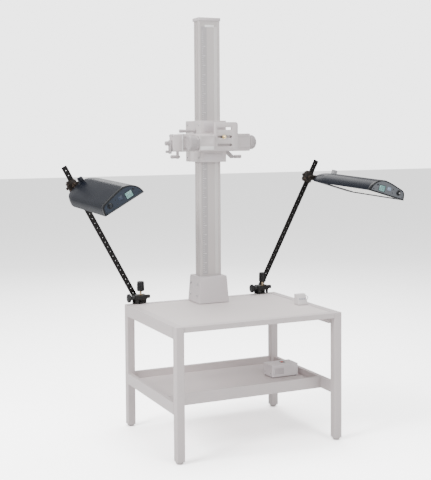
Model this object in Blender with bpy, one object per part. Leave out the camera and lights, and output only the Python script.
# Copy stand with a tubular table, a column with a crank-driven camera carriage, and two arm-mounted
# copy lights.  Metres, +Z up, operator side at -Y.  Everything is drawn about the middle of the table,
# then moved sideways so that the origin is on the floor under the middle of the whole object.
import math
import bpy
import bmesh
from mathutils import Matrix, Vector

TABLE_W, TABLE_D, TABLE_H = 0.900, 0.720, 0.650
LEG = 0.042                       # square tube
TUBE = 0.002                      # its wall
RAIL_H, FRONT_H = 0.058, 0.027    # side and back rails, and the low front strip
SHELF_LOW, SHELF_TOP = 0.230, 0.252
COL_W, COL_Y0, COL_Y1, COL_TOP = 0.120, 0.218, 0.288, 2.147
CAR_Z0, CAR_Z1 = 1.401, 1.620     # carriage sleeve
SPLIT_Y = 0.270                   # joint between the two sleeve halves
CRANK_Y, CRANK_Z = 0.312, 1.500
BEAM = (-0.251, 0.1885, 0.117, 0.1766, 1.459, 1.551)
PLATE_Y = (0.082, 0.098)
COLUMN_X = -0.008                 # the column and all it carries stand this far left of the table's middle
LAMP_SCALE = 1.02                 # on the lamp cross-section listed below
ARM_Y, ARM_LEN, ARM_W = 0.3875, 0.807, 0.029
SLIDER_AT = 0.697
GAP = 0.0003

HX, HY = TABLE_W / 2, TABLE_D / 2


def clear_scene():
    for ob in list(bpy.data.objects):
        bpy.data.objects.remove(ob, do_unlink=True)


def material(name, rgb, metal=0.0, rough=0.5):
    mat = bpy.data.materials.new(name)
    mat.use_nodes = True
    node = mat.node_tree.nodes["Principled BSDF"]
    node.inputs["Base Color"].default_value = (rgb[0], rgb[1], rgb[2], 1.0)
    node.inputs["Metallic"].default_value = metal
    node.inputs["Roughness"].default_value = rough
    return mat


def finish_mesh(name, bm, mat):
    bmesh.ops.recalc_face_normals(bm, faces=bm.faces[:])
    mesh = bpy.data.meshes.new(name)
    bm.to_mesh(mesh)
    bm.free()
    ob = bpy.data.objects.new(name, mesh)
    bpy.context.scene.collection.objects.link(ob)
    if mat is not None:
        mesh.materials.append(mat)
    return ob


def at(axis, a, b, t):
    """Point with in-plane coordinates a, b and distance t along the axis."""
    return {"X": (t, a, b), "Y": (a, t, b), "Z": (a, b, t)}[axis]


def loft(name, axis, sections, mat):
    """Closed solid through sections, each a distance along the axis and a list of points."""
    bm = bmesh.new()
    rings = [[bm.verts.new(at(axis, p[0], p[1], t)) for p in pts] for t, pts in sections]
    n = len(rings[0])
    for lo, hi in zip(rings, rings[1:]):
        for i in range(n):
            bm.faces.new((lo[i], lo[(i + 1) % n], hi[(i + 1) % n], hi[i]))
    bm.faces.new(rings[0])
    bm.faces.new(list(reversed(rings[-1])))
    return finish_mesh(name, bm, mat)


def prism(name, axis, pts, t0, t1, mat=None):
    return loft(name, axis, [(t0, pts), (t1, pts)], mat)


def rounded(a0, a1, b0, b1, r, steps=3):
    pts = []
    for ca, cb, start in ((a1 - r, b1 - r, 0), (a0 + r, b1 - r, 90), (a0 + r, b0 + r, 180), (a1 - r, b0 + r, 270)):
        for k in range(steps + 1):
            t = math.radians(start + 90 * k / steps)
            pts.append((ca + r * math.cos(t), cb + r * math.sin(t)))
    return pts


def block(name, x0, x1, y0, y1, z0, z1, mat=None, r=0.0, axis="Z"):
    if axis == "Z":
        a, t = (x0, x1, y0, y1), (z0, z1)
    elif axis == "Y":
        a, t = (x0, x1, z0, z1), (y0, y1)
    else:
        a, t = (y0, y1, z0, z1), (x0, x1)
    pts = rounded(*a, r) if r else [(a[0], a[2]), (a[1], a[2]), (a[1], a[3]), (a[0], a[3])]
    return prism(name, axis, pts, t[0], t[1], mat)


def turned(name, axis, centre, profile, mat=None, n=24):
    """Solid of revolution; profile is (distance along axis, radius) with the ends closed flat."""
    secs = []
    for t, r in profile:
        ring = [(centre[0] + r * math.cos(2 * math.pi * k / n), centre[1] + r * math.sin(2 * math.pi * k / n))
                for k in range(n)]
        secs.append((t, ring))
    ob = loft(name, axis, secs, mat)
    for poly in ob.data.polygons:
        poly.use_smooth = len(poly.vertices) == 4
    return ob


def bake(ob):
    graph = bpy.context.evaluated_depsgraph_get()
    mesh = bpy.data.meshes.new_from_object(ob.evaluated_get(graph))
    ob.modifiers.clear()
    ob.data = mesh
    return ob


def combine(ob, others, how):
    for other in others:
        mod = ob.modifiers.new("b", "BOOLEAN")
        mod.operation = how
        mod.solver = "EXACT"
        mod.object = other
        bake(ob)
        bpy.data.objects.remove(other, do_unlink=True)
    return ob


def cut(ob, *others):
    return combine(ob, others, "DIFFERENCE")


def fuse(ob, *others):
    return combine(ob, others, "UNION")


def set_origin(ob, point):
    ob.data.transform(Matrix.Translation(-Vector(point)))
    ob.location = point
    return ob


# ---------------------------------------------------------------- table

def build_table(m):
    z0 = 0.0123
    for sx, sy, tag in ((-1, -1, "front_left"), (1, -1, "front_right"), (-1, 1, "back_left"), (1, 1, "back_right")):
        x0, x1 = sorted((sx * HX, sx * (HX - LEG)))
        y0, y1 = sorted((sy * HY, sy * (HY - LEG)))
        leg = block("leg_" + tag, x0, x1, y0, y1, z0, TABLE_H, m["frame"], r=0.004)
        cut(leg, block("c", x0 + TUBE, x1 - TUBE, y0 + TUBE, y1 - TUBE, z0 - 0.01, TABLE_H - TUBE, None, r=0.002))
        turned("glide_" + tag, "Z", ((x0 + x1) / 2, (y0 + y1) / 2),
               [(0.0, 0.0130), (0.0035, 0.0170), (0.0080, 0.0190), (z0 - GAP, 0.0195)], m["rubber"], 20)
    wall, ledge = 0.0405, 0.052
    top, step = TABLE_H, 0.6317
    inner = HY - LEG - GAP       # the board lies on ledges that only the side rails have
    for s, tag in ((-1, "left"), (1, "right")):
        pts = [(s * HX, top - RAIL_H), (s * HX, top), (s * (HX - wall), top), (s * (HX - wall), step),
               (s * (HX - ledge), step), (s * (HX - ledge), top - RAIL_H)]
        rail = prism("top_rail_" + tag, "Y", pts, -inner, inner, m["frame"])
        cut(rail, block("c", *sorted((s * (HX - TUBE), s * (HX - wall + TUBE))), -0.4, 0.4,
                        top - RAIL_H + TUBE, top - TUBE))
        rail = block("low_rail_" + tag, *sorted((s * HX, s * (HX - 0.024))), -inner, inner,
                     SHELF_LOW, SHELF_LOW + RAIL_H, m["frame"], r=0.003, axis="Y")
        cut(rail, block("c", *sorted((s * (HX - TUBE), s * (HX - 0.022))), -0.4, 0.4,
                        SHELF_LOW + TUBE, SHELF_LOW + RAIL_H - TUBE))
    innx = HX - LEG - GAP
    for name, y0, y1, z0, z1 in (("top_rail_back", HY - wall, HY, top - RAIL_H, top),
                                 ("top_rail_front", -HY, wall - HY, top - FRONT_H, top),
                                 ("low_rail_back", HY - 0.024, HY, SHELF_LOW, SHELF_LOW + RAIL_H)):
        rail = block(name, -innx, innx, y0, y1, z0, z1, m["frame"], r=0.002, axis="X")
        cut(rail, block("c", -0.5, 0.5, y0 + TUBE, y1 - TUBE, z0 + TUBE, z1 - TUBE))
    sx = HX - 0.024 - GAP
    front = block("shelf_front", -sx, sx, -0.190, -0.176, SHELF_LOW, SHELF_LOW + RAIL_H, m["frame"])
    cut(front, block("c", -0.5, 0.5, -0.190 + TUBE, -0.176 - TUBE, SHELF_LOW + TUBE, SHELF_LOW + RAIL_H - TUBE))
    bx, by = HX - wall - 0.0022, HY - wall - 0.0022
    block("table_board", -bx, bx, -by, by, step + GAP, 0.6485, m["board"], r=0.002)
    ly = HY - LEG - GAP
    lx = HX - LEG - GAP
    pts = [(-sx, -0.176 + GAP), (sx, -0.176 + GAP), (sx, ly), (lx, ly), (lx, HY - 0.024 - GAP),
           (-lx, HY - 0.024 - GAP), (-lx, ly), (-sx, ly)]
    prism("shelf_board", "Z", pts, 0.238, SHELF_TOP, m["board"])


def build_controls(m):
    z0 = SHELF_TOP + GAP
    body = block("control_box", 0.249, 0.406, 0.010, 0.110, z0, 0.320, m["grey"], r=0.004, axis="Y")
    cut(body, block("c", 0.329, 0.347, 0.052, 0.076, 0.310, 0.325))
    pts = [(0.0524, 0.3125), (0.0756, 0.3125), (0.0740, 0.3225), (0.0640, 0.3200), (0.0540, 0.3225)]
    rocker = prism("power_rocker", "X", pts, 0.3295, 0.3465, m["red"])
    set_origin(rocker, (0.338, 0.064, 0.3150))
    for v in rocker.data.vertices:
        v.co.y *= 0.90
    z0 = TABLE_H + GAP
    hand = prism("hand_control", "X", [(-0.088, z0), (-0.040, z0), (-0.040, 0.7020), (-0.043, 0.7045), (-0.060, 0.7045),
                                       (-0.064, 0.7025), (-0.088, 0.6580)], 0.3560, 0.4105, m["grey"])
    bail = bmesh.new()
    rings = []
    for k in range(13):
        t = math.pi * (k / 12 - 0.5)
        mid = Vector((0.4090 + 0.0240 * math.cos(t), -0.052, 0.679 + 0.0145 * math.sin(t)))
        out = Vector((math.cos(t) * 0.0145, 0, math.sin(t) * 0.0240)).normalized()
        rings.append([bail.verts.new(mid + out * 0.0016 * math.cos(a) + Vector((0, 0.0016 * math.sin(a), 0)))
                      for a in [2 * math.pi * i / 8 for i in range(8)]])
    for lo, hi in zip(rings, rings[1:]):
        for i in range(8):
            bail.faces.new((lo[i], lo[(i + 1) % 8], hi[(i + 1) % 8], hi[i]))
    bail.faces.new(rings[0])
    bail.faces.new(list(reversed(rings[-1])))
    fuse(hand, finish_mesh("bail", bail, None))


# ---------------------------------------------------------------- column and carriage

def build_column(m):
    z0 = TABLE_H + GAP
    foot = loft("column_foot", "Z", [
        (z0, rounded(-0.087, 0.087, 0.177, 0.331, 0.004)),
        (0.780, rounded(-0.0795, 0.0795, 0.1863, 0.3218, 0.004)),
        (0.792, rounded(-0.0775, 0.0775, 0.1883, 0.3198, 0.004))], m["casting"])
    cut(foot, block("c", -0.0604, 0.0604, COL_Y0 - 0.0004, COL_Y1 + 0.0064, 0.60, 0.82))
    h, y0, y1 = COL_W / 2, COL_Y0, COL_Y1
    pts = [(-h + 0.002, y0), (-0.050, y0), (-0.048, y0 + 0.0015), (0.048, y0 + 0.0015), (0.050, y0), (h - 0.002, y0),
           (h, y0 + 0.002), (h, 0.238), (h - 0.004, 0.240), (h - 0.004, 0.246), (h, 0.248), (h, 0.260),
           (h - 0.004, 0.262), (h - 0.004, 0.268), (h, 0.270), (h, y1 - 0.002), (h - 0.002, y1), (-h + 0.002, y1),
           (-h, y1 - 0.002), (-h, 0.270), (-h + 0.004, 0.268), (-h + 0.004, 0.262), (-h, 0.260), (-h, 0.248),
           (-h + 0.004, 0.246), (-h + 0.004, 0.240), (-h, 0.238), (-h, y0 + 0.002)]
    column = prism("column", "Z", pts, z0, COL_TOP, m["casting"])
    cut(column, block("c", -0.0515, 0.0515, y0 + 0.006, y1 - 0.005, 0.6, 2.2, None, r=0.004))
    block("column_cap", -0.0635, 0.0635, 0.2145, 0.2975, COL_TOP + GAP, 2.165, m["grey"], r=0.004)
    block("rack", -0.008, 0.008, COL_Y1 + GAP, COL_Y1 + 0.0055, 0.800, 2.135, m["steel"])


def foot_and_column():
    return [bpy.data.objects[n] for n in ("column_foot", "column", "column_cap", "rack")]


def build_carriage(m):
    c = 0.0610
    front = block("carriage_front", -0.075, 0.075, 0.177, SPLIT_Y - GAP / 2, CAR_Z0, CAR_Z1, m["casting"])
    cut(front, block("c", -c, c, COL_Y0 - 0.001, 0.40, 1.3, 1.7),
        turned("c", "X", (0.240, 1.566), [(-0.08, 0.0053), (-0.05, 0.0053)], None, 16))
    rear = block("carriage_rear", -0.075, 0.075, SPLIT_Y + GAP / 2, 0.375, CAR_Z0, CAR_Z1, m["casting"], r=0.003)
    cut(rear, block("c", -c, c, 0.20, 0.360, 1.3, 1.7),
        turned("c", "X", (CRANK_Y, CRANK_Z), [(-0.078, 0.0063), (0.080, 0.0063)], None, 16))
    crank = turned("height_crank", "X", (CRANK_Y, CRANK_Z),
                   [(-0.106, 0.016), (-0.0754, 0.016), (-0.0754, 0.0060), (-0.012, 0.0060), (-0.012, 0.0175),
                    (0.012, 0.0175), (0.012, 0.0060), (0.0754, 0.0060), (0.0754, 0.016), (0.094, 0.016)],
                   m["dark"], 24)
    for pts, far, mid in (([(0.080, 1.508), (0.080, 1.492), (0.164, 1.416), (0.180, 1.416), (0.180, 1.432),
                            (0.096, 1.508)], 0.2285, 1.4250),
                          ([(-0.092, 1.508), (-0.106, 1.508), (-0.156, 1.470), (-0.156, 1.418), (-0.143, 1.418),
                            (-0.143, 1.462), (-0.092, 1.492)], -0.189, 1.4290)):
        s = 1 if far > 0 else -1
        near = s * (abs(far) - 0.052)
        arm = prism("a", "Y", pts, CRANK_Y - 0.0065, CRANK_Y + 0.0065)
        lo, hi = sorted((near, far))
        ends = [(near, 0.0070), (near + s * 0.010, 0.0070), (near + s * 0.012, 0.0100), (far - s * 0.004, 0.0100),
                (far, 0.0070)]
        fuse(crank, arm, turned("g", "X", (CRANK_Y, mid), ends if s > 0 else ends[::-1], None, 16))
    set_origin(crank, (0, CRANK_Y, CRANK_Z))
    lock = turned("lock_lever", "X", (0.240, 1.566),
                  [(-0.168, 0.0070), (-0.165, 0.0095), (-0.104, 0.0085), (-0.102, 0.0060), (-0.086, 0.0060),
                   (-0.084, 0.0110), (-0.0753, 0.0110), (-0.0753, 0.0050), (-0.0606, 0.0050)], m["dark"], 16)
    set_origin(lock, (-0.070, 0.240, 1.566))

    x0, x1, y0, y1, z0, z1 = BEAM
    beam = block("cross_beam", x0 + 0.055, x1 - 0.006, y0, y1, z0, z1, m["casting"], r=0.003, axis="X")
    fuse(beam, block("e", x0, x0 + 0.058, y0 + 0.001, y1 - 0.001, z0 + 0.001, z1 - 0.001, None, r=0.008, axis="X"),
         block("e", x1 - 0.008, x1, y0 + 0.001, y1 - 0.001, z0 + 0.001, z1 - 0.001, None, r=0.008, axis="X"))
    cut(beam, turned("c", "X", (0.145, 1.503), [(-0.30, 0.0053), (-0.21, 0.0053)], None, 16),
        turned("c", "X", (0.145, 1.505), [(0.160, 0.0053), (0.210, 0.0053)], None, 16))
    cc = turned("cross_crank", "X", (0.145, 1.503),
                [(-0.2870, 0.0090), (-0.2850, 0.0115), (-0.2650, 0.0115), (x0 - GAP, 0.0115), (x0 - GAP, 0.0050),
                 (-0.2130, 0.0050)], m["dark"], 24)
    fuse(cc, block("a", -0.2660, -0.2535, 0.1345, 0.1555, 1.4490, 1.5200, None, r=0.0085, axis="X"))
    set_origin(cc, (x0, 0.145, 1.503))
    knob = turned("cross_knob", "X", (0.145, 1.505),
                  [(0.164, 0.0050), (x1 + GAP, 0.0050), (x1 + GAP, 0.0330), (x1 + 0.0035, 0.0375),
                   (0.2160, 0.0375), (0.2250, 0.0330), (0.2287, 0.020)], m["dark"], 32)
    set_origin(knob, (0.205, 0.145, 1.505))

    rail = block("camera_block", -0.1346, 0.088, PLATE_Y[1] + GAP, y0 - GAP, 1.463, 1.546, m["casting"])
    fuse(rail, block("b", -0.1346, -0.0462, 0.052, y0 - GAP - 0.001, 1.464, 1.545, None, r=0.004, axis="X"))
    cut(rail, turned("c", "X", (0.076, 1.504), [(-0.140, 0.0053), (-0.100, 0.0053)], None, 16))
    fk = turned("focus_knob", "X", (0.076, 1.504),
                [(-0.108, 0.0050), (-0.1350, 0.0050), (-0.1350, 0.0300), (-0.150, 0.0300), (-0.152, 0.0380),
                 (-0.184, 0.0380), (-0.188, 0.0350), (-0.189, 0.030)], m["dark"], 32)
    set_origin(fk, (-0.165, 0.076, 1.504))
    p = [(-0.0335, 1.4630), (0.0985, 1.4630)]
    for k in range(6):
        t = math.radians(90 * k / 5)
        p.append((0.0845 + 0.014 * math.cos(t), 1.597 + 0.014 * math.sin(t)))
    p.append((-0.0335, 1.6110))
    plate = prism("camera_plate", "Y", p, PLATE_Y[0], PLATE_Y[1], m["casting"])
    for z in (1.5776, 1.5345, 1.4915):
        cut(plate, block("c", -0.0200, 0.0660, 0.05, 0.12, z - 0.0065, z + 0.0065, None, r=0.0063, axis="Y"))
    screw = turned("camera_screw", "Y", (0.018, 1.5345),
                   [(0.0965, 0.0047), (PLATE_Y[0] - GAP, 0.0047), (PLATE_Y[0] - GAP, 0.0105), (0.0765, 0.0105),
                    (0.0765, 0.0047), (0.066, 0.0047), (0.065, 0.0040)], m["brass"], 16)
    set_origin(screw, (0.018, 0.082, 1.5345))
    for ob in (foot_and_column() + [front, rear, crank, lock, beam, cc, knob, rail, fk, plate, screw]):
        ob.location.x += COLUMN_X


# ---------------------------------------------------------------- lights

SHELL = [(0.000, 0.000), (0.002, 0.014), (0.010, 0.033), (0.020, 0.046), (0.033, 0.057), (0.050, 0.066),
         (0.070, 0.071), (0.090, 0.0705), (0.115, 0.067), (0.140, 0.0615), (0.165, 0.0555), (0.186, 0.0505),
         (0.198, 0.0450), (0.205, 0.0360), (0.2095, 0.0200), (0.212, 0.000)]
PIVOT_S, PIVOT_H = 0.071, 0.035   # where the tilt pivot sits in the cross-section
LAMP_W = SHELL[-1][0]


def shell_points(side, grow=0.0, scale=1.0):
    """Cross-section in the lamp's own axes, pivot at 0,0; side +1 has its inner edge at +X."""
    out = []
    for s, h in SHELL:
        cs, ch = LAMP_W / 2 - s, h
        v = Vector((cs, ch * 1.35 + 0.001))
        k = 1.0 - grow / max(v.length, 0.04)
        x = cs * k - (LAMP_W / 2 - PIVOT_S)
        z = max(ch * k, 0.0) - PIVOT_H
        out.append((side * x * scale * LAMP_SCALE, z * scale * LAMP_SCALE))
    return out


def lamp_at(side, s, h):
    """In-plane place of a point of the cross-section, in the lamp's own axes."""
    return side * (PIVOT_S - s) * LAMP_SCALE, (h - PIVOT_H) * LAMP_SCALE


def build_light(side, tag, base, pivot, lean, front_y, lamp_p, tilt, m):
    """side is +1 for the left light (inner edge toward +X) and -1 for the right one."""
    out = -side
    cx = base
    c = prism("clamp_body_" + tag, "X",
              [(0.3725, 0.578), (0.3725, 0.692), (0.3690, 0.698), (0.322, 0.698), (0.318, 0.694), (0.318, 0.672),
               (0.3605, 0.672), (0.3605, 0.5915), (0.338, 0.5915), (0.338, 0.578)], cx - 0.036, cx + 0.030, m["black"])
    cut(c, turned("c", "Z", (cx, 0.338), [(0.60, 0.0050), (0.72, 0.0050)], None, 16),
        turned("c", "X", (0.338, 0.683), [(cx - 0.05, 0.0053), (cx - 0.016, 0.0053)], None, 16))
    fuse(c, turned("p", "Y", pivot, [(0.3700, 0.016), (0.3775, 0.016)], None, 20),
         turned("p", "Y", pivot, [(0.3700, 0.0045), (0.3985, 0.0045)], None, 16),
         block("w", cx + 0.028, cx + 0.050, 0.326, 0.338, 0.684, 0.697, None, r=0.004, axis="X"))
    kn = turned("clamp_knob_" + tag, "X", (0.338, 0.683),
                [(cx - 0.074, 0.0200), (cx - 0.071, 0.0230), (cx - 0.061, 0.0230), (cx - 0.058, 0.0200),
                 (cx - 0.058, 0.0130), (cx - 0.0363, 0.0130), (cx - 0.0363, 0.0050), (cx - 0.018, 0.0050)],
                m["black"], 24)
    set_origin(kn, (cx - 0.05, 0.338, 0.683))
    s = turned("clamp_screw_" + tag, "Z", (cx, 0.338),
               [(TABLE_H + GAP, 0.010), (0.655, 0.010), (0.657, 0.0045), (0.718, 0.0045), (0.718, 0.0185),
                (0.721, 0.0200), (0.766, 0.0190), (0.770, 0.0165)], m["black"], 24)
    set_origin(s, (cx, 0.338, 0.700))

    d = Vector((out * math.sin(lean), 0, math.cos(lean)))
    turn = Matrix.Translation(Vector((pivot[0], ARM_Y, pivot[1]))) @ Matrix.Rotation(out * lean, 4, "Y")
    arm = block("arm_" + tag, -ARM_W / 2, ARM_W / 2, -0.003, 0.003, -0.018, ARM_LEN, m["black"], r=0.003, axis="Y")
    bm = bmesh.new()
    for k in range(28):
        z = 0.029 * k
        r = 0.0050 if k == 0 else 0.0034
        if z > ARM_LEN - 0.015:
            break
        lo = [bm.verts.new((r * math.cos(math.pi * i / 4), -0.01, z + r * math.sin(math.pi * i / 4))) for i in range(8)]
        hi = [bm.verts.new((v.co.x, 0.01, v.co.z)) for v in lo]
        for i in range(8):
            bm.faces.new((lo[i], lo[(i + 1) % 8], hi[(i + 1) % 8], hi[i]))
        bm.faces.new(lo)
        bm.faces.new(list(reversed(hi)))
    cut(arm, finish_mesh("holes", bm, None))
    arm.matrix_world = turn

    sl = block("slider_" + tag, -0.034, 0.020, -0.0110, 0.0150, -0.025, 0.025, m["black"], r=0.003, axis="Y")
    fuse(sl, block("b", -0.028, 0.014, -0.0110, 0.0150, -0.032, 0.032, None, r=0.003, axis="Y"))
    cut(sl, block("c", -ARM_W / 2 - 0.0005, ARM_W / 2 + 0.0005, -0.0036, 0.0036, -0.05, 0.05))
    sl.matrix_world = turn @ Matrix.Translation(Vector((0, 0, SLIDER_AT)))

    sp = Vector((pivot[0], ARM_Y, pivot[1])) + d * SLIDER_AT
    lp = Vector(lamp_p)
    v = Vector((lp.x - sp.x, 0, lp.z - sp.z))
    length = v.length
    ang = math.atan2(v.z, v.x)
    link = block("link_" + tag, -0.014, length + 0.016, -0.0180, -0.0115, -0.015, 0.015, m["black"], r=0.0145, axis="Y")
    fuse(link, turned("s", "Y", (length, 0.0), [(-0.0260, 0.0150), (-0.0150, 0.0150)], None, 20))
    link.matrix_world = Matrix.Translation(sp) @ Matrix.Rotation(-ang, 4, "Y")

    frame = Matrix.Translation(lp) @ Matrix.Rotation(tilt, 4, "Y")
    pitch = Matrix.Rotation(math.radians(2.0), 4, "X")
    ye = front_y - lp.y
    yf, yc = ye + 0.022, -0.012
    outer = shell_points(side)
    inner = shell_points(side, grow=0.004)
    body = prism("housing_" + tag, "Y", outer + list(reversed(inner)), yf, -0.178, m["lamp"])
    secs = []
    for y, k in ((-0.180, 1.0), (-0.140, 0.985), (-0.105, 0.95), (-0.072, 0.89), (-0.045, 0.80), (-0.026, 0.68),
                 (-0.015, 0.54), (yc, 0.44)):
        secs.append((y, shell_points(side, scale=k) if k < 1 else outer))
    fuse(body, loft("t", "Y", secs, None))
    hollow = []
    for y, k in ((-0.184, 1.0), (-0.140, 0.985), (-0.105, 0.95), (-0.072, 0.88), (-0.048, 0.77), (-0.034, 0.62)):
        floor = 0.004 - PIVOT_H * k * LAMP_SCALE
        hollow.append((y, [(p[0], max(p[1], floor)) for p in shell_points(side, grow=0.0045, scale=k * 0.99)]))
    cut(body, loft("h", "Y", hollow, None))
    tx, tz = lamp_at(side, 0.100, 0.083)
    fuse(body, block("k", tx - 0.0125, tx + 0.0125, -0.108, -0.083, tz - 0.040, tz + 0.013, None, r=0.004, axis="Z"))
    body.data.transform(pitch)
    fuse(body, turned("b", "Y", (0, 0), [(-0.030, 0.0160), (0.0155, 0.0160)], None, 20))
    body.matrix_world = frame
    cap = prism("front_cap_" + tag, "Y", outer, ye, yf - GAP, m["lamp_cap"])
    kx, kz = lamp_at(side, 0.110, 0.036)
    cut(cap, block("c", kx - 0.007, kx + 0.007, ye - 0.01, ye + 0.005, kz - 0.005, kz + 0.005, None, r=0.0022,
                   axis="Y"))
    cap.data.transform(pitch)
    cap.matrix_world = frame
    lo = -PIVOT_H * LAMP_SCALE
    xs = [p[0] for p in inner]
    x0, x1 = min(xs) + 0.001, max(xs) - 0.001
    dif = block("diffuser_" + tag, x0, x1, yf + GAP, -0.1805, lo + 0.0005, lo + 0.0030, m["white"])
    dif.data.transform(pitch)
    dif.matrix_world = frame
    tube = turned("tube_" + tag, "Y", (side * -0.010, -0.004), [(yf + 0.001, 0.008), (yf + 0.012, 0.008),
                                                            (yf + 0.012, 0.013), (-0.195, 0.013), (-0.195, 0.008),
                                                            (-0.1803, 0.008)], m["white"], 16)
    tube.data.transform(pitch)
    tube.matrix_world = frame
    dim = turned("dimmer_knob_" + tag, "Y", (0, 0), [(-0.0110, 0.0070), (-0.010, 0.0082), (-GAP, 0.0090)],
                 m["dark"], 20)
    nx, nz = lamp_at(side, 0.172, 0.027)
    dim.matrix_world = frame @ pitch @ Matrix.Translation(Vector((nx, ye, nz)))
    key = block("mode_key_" + tag, -0.0065, 0.0065, -0.0030, 0.0015, -0.0045, 0.0045, m["dark"], r=0.002, axis="Y")
    key.matrix_world = frame @ pitch @ Matrix.Translation(Vector((kx, ye, kz)))


def centre_footprint():
    """Move everything so that the origin is under the middle of the whole object."""
    pts = [ob.matrix_world @ v.co for ob in bpy.data.objects for v in ob.data.vertices]
    dx = (min(p.x for p in pts) + max(p.x for p in pts)) / 2
    dy = (min(p.y for p in pts) + max(p.y for p in pts)) / 2
    for ob in bpy.data.objects:
        ob.matrix_world = Matrix.Translation((-dx, -dy, 0)) @ ob.matrix_world
    print("shift", dx, dy)
    bpy.context.view_layer.update()


def build():
    clear_scene()
    m = {
        "frame": material("frame_paint", (0.545, 0.520, 0.515), 0.0, 0.45),
        "casting": material("casting_paint", (0.520, 0.495, 0.490), 0.0, 0.45),
        "board": material("board_paint", (0.610, 0.575, 0.560), 0.0, 0.50),
        "grey": material("grey_plastic", (0.50, 0.48, 0.47), 0.0, 0.5),
        "rubber": material("glide_plastic", (0.50, 0.48, 0.47), 0.0, 0.6),
        "red": material("red_plastic", (0.60, 0.12, 0.08), 0.0, 0.4),
        "dark": material("knob_grey", (0.36, 0.34, 0.34), 0.0, 0.45),
        "steel": material("rack_steel", (0.55, 0.55, 0.55), 1.0, 0.35),
        "brass": material("screw_brass", (0.75, 0.62, 0.40), 1.0, 0.35),
        "black": material("arm_black", (0.012, 0.011, 0.010), 0.0, 0.35),
        "lamp": material("lamp_shell", (0.025, 0.028, 0.034), 0.0, 0.35),
        "lamp_cap": material("lamp_end", (0.030, 0.035, 0.045), 0.0, 0.40),
        "white": material("lamp_white", (0.85, 0.85, 0.82), 0.0, 0.4),
    }
    build_table(m)
    build_controls(m)
    build_column(m)
    build_carriage(m)
    build_light(1, "left", -0.366, (-0.3776, 0.677), math.radians(28.5), -0.295, (-0.6677, 0.345, 1.2987),
                math.radians(-29.8), m)
    build_light(-1, "right", 0.363, (0.3706, 0.677), math.radians(27.6), -0.310, (0.7382, 0.345, 1.2914),
                math.radians(16.4), m)
    bpy.context.view_layer.update()
    centre_footprint()


build()
